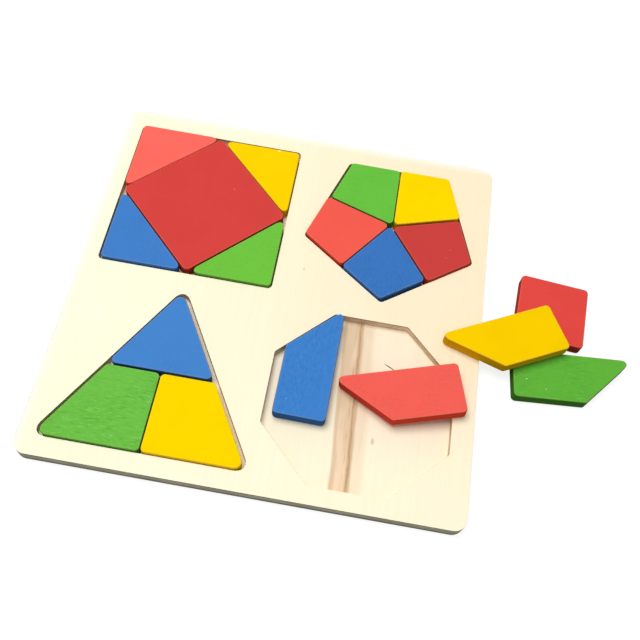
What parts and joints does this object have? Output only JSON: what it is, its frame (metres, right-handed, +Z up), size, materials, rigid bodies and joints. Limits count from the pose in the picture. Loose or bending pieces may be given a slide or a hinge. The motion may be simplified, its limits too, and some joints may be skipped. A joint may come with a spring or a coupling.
{
  "type": "wooden shape puzzle",
  "caption": "Square two-layer plywood board with a square, a pentagon, a triangle and an octagon recess, filled with painted flat wooden pieces that lift out; the octagon is partly taken apart.",
  "frame": {"origin": "centre of the board's underside, on the table", "axes": "+X to the board's right side, where the loose pieces lie; +Y to its back edge; +Z up out of its face"},
  "size_m": [0.3535, 0.26, 0.0184],
  "materials": {
    "frame_wood": "pale bare plywood, sanded and thinly lacquered",
    "backing_wood": "pale bare plywood with a brown heartwood stripe",
    "red_paint": "satin dark red paint with the grain showing",
    "coral_paint": "satin light red paint with the grain showing",
    "yellow_paint": "satin yellow paint with the grain showing",
    "green_paint": "satin green paint with the grain showing",
    "blue_paint": "satin blue paint with the grain showing"
  },
  "bodies": {
    "board": {"backing_board": "backing_wood", "top_frame": "frame_wood"},
    "square_centre_red": {"square_centre_red": "red_paint"},
    "square_corner_coral": {"square_corner_coral": "coral_paint"},
    "square_corner_yellow": {"square_corner_yellow": "yellow_paint"},
    "square_corner_green": {"square_corner_green": "green_paint"},
    "square_corner_blue": {"square_corner_blue": "blue_paint"},
    "pentagon_kite_blue": {"pentagon_kite_blue": "blue_paint"},
    "pentagon_kite_red": {"pentagon_kite_red": "red_paint"},
    "pentagon_kite_yellow": {"pentagon_kite_yellow": "yellow_paint"},
    "pentagon_kite_green": {"pentagon_kite_green": "green_paint"},
    "pentagon_kite_coral": {"pentagon_kite_coral": "coral_paint"},
    "triangle_top_blue": {"triangle_top_blue": "blue_paint"},
    "triangle_left_green": {"triangle_left_green": "green_paint"},
    "triangle_right_yellow": {"triangle_right_yellow": "yellow_paint"},
    "octagon_wing_blue": {"octagon_wing_blue": "blue_paint"},
    "octagon_wing_coral": {"octagon_wing_coral": "coral_paint"},
    "octagon_wing_yellow": {"octagon_wing_yellow": "yellow_paint"},
    "octagon_wing_green": {"octagon_wing_green": "green_paint"},
    "octagon_centre_red": {"octagon_centre_red": "red_paint"}
  },
  "joints": [
    {"name": "square_centre_red_lift", "type": "slide", "parent": "board", "child": "square_centre_red", "axis": [0, 0, 1], "range_m": [0, 0.04]},
    {"name": "square_corner_coral_lift", "type": "slide", "parent": "board", "child": "square_corner_coral", "axis": [0, 0, 1], "range_m": [0, 0.04]},
    {"name": "square_corner_yellow_lift", "type": "slide", "parent": "board", "child": "square_corner_yellow", "axis": [0, 0, 1], "range_m": [0, 0.04]},
    {"name": "square_corner_green_lift", "type": "slide", "parent": "board", "child": "square_corner_green", "axis": [0, 0, 1], "range_m": [0, 0.04]},
    {"name": "square_corner_blue_lift", "type": "slide", "parent": "board", "child": "square_corner_blue", "axis": [0, 0, 1], "range_m": [0, 0.04]},
    {"name": "pentagon_kite_blue_lift", "type": "slide", "parent": "board", "child": "pentagon_kite_blue", "axis": [0, 0, 1], "range_m": [0, 0.04]},
    {"name": "pentagon_kite_red_lift", "type": "slide", "parent": "board", "child": "pentagon_kite_red", "axis": [0, 0, 1], "range_m": [0, 0.04]},
    {"name": "pentagon_kite_yellow_lift", "type": "slide", "parent": "board", "child": "pentagon_kite_yellow", "axis": [0, 0, 1], "range_m": [0, 0.04]},
    {"name": "pentagon_kite_green_lift", "type": "slide", "parent": "board", "child": "pentagon_kite_green", "axis": [0, 0, 1], "range_m": [0, 0.04]},
    {"name": "pentagon_kite_coral_lift", "type": "slide", "parent": "board", "child": "pentagon_kite_coral", "axis": [0, 0, 1], "range_m": [0, 0.04]},
    {"name": "triangle_top_blue_lift", "type": "slide", "parent": "board", "child": "triangle_top_blue", "axis": [0, 0, 1], "range_m": [0, 0.04]},
    {"name": "triangle_left_green_lift", "type": "slide", "parent": "board", "child": "triangle_left_green", "axis": [0, 0, 1], "range_m": [0, 0.04]},
    {"name": "triangle_right_yellow_lift", "type": "slide", "parent": "board", "child": "triangle_right_yellow", "axis": [0, 0, 1], "range_m": [0, 0.04]},
    {"name": "octagon_wing_blue_lift", "type": "slide", "parent": "board", "child": "octagon_wing_blue", "axis": [0, 0, 1], "range_m": [0, 0.04]},
    {"name": "octagon_wing_coral_lift", "type": "slide", "parent": "board", "child": "octagon_wing_coral", "axis": [0, 0, 1], "range_m": [0, 0.04]},
    {"name": "octagon_wing_yellow_lift", "type": "slide", "parent": "board", "child": "octagon_wing_yellow", "axis": [0, 0, 1], "range_m": [0, 0.04]},
    {"name": "octagon_wing_green_pull", "type": "slide", "parent": "board", "child": "octagon_wing_green", "axis": [1, 0, 0], "range_m": [0, 0.06]},
    {"name": "octagon_centre_red_pull", "type": "slide", "parent": "board", "child": "octagon_centre_red", "axis": [0, 1, 0], "range_m": [0, 0.06]}
  ]
}
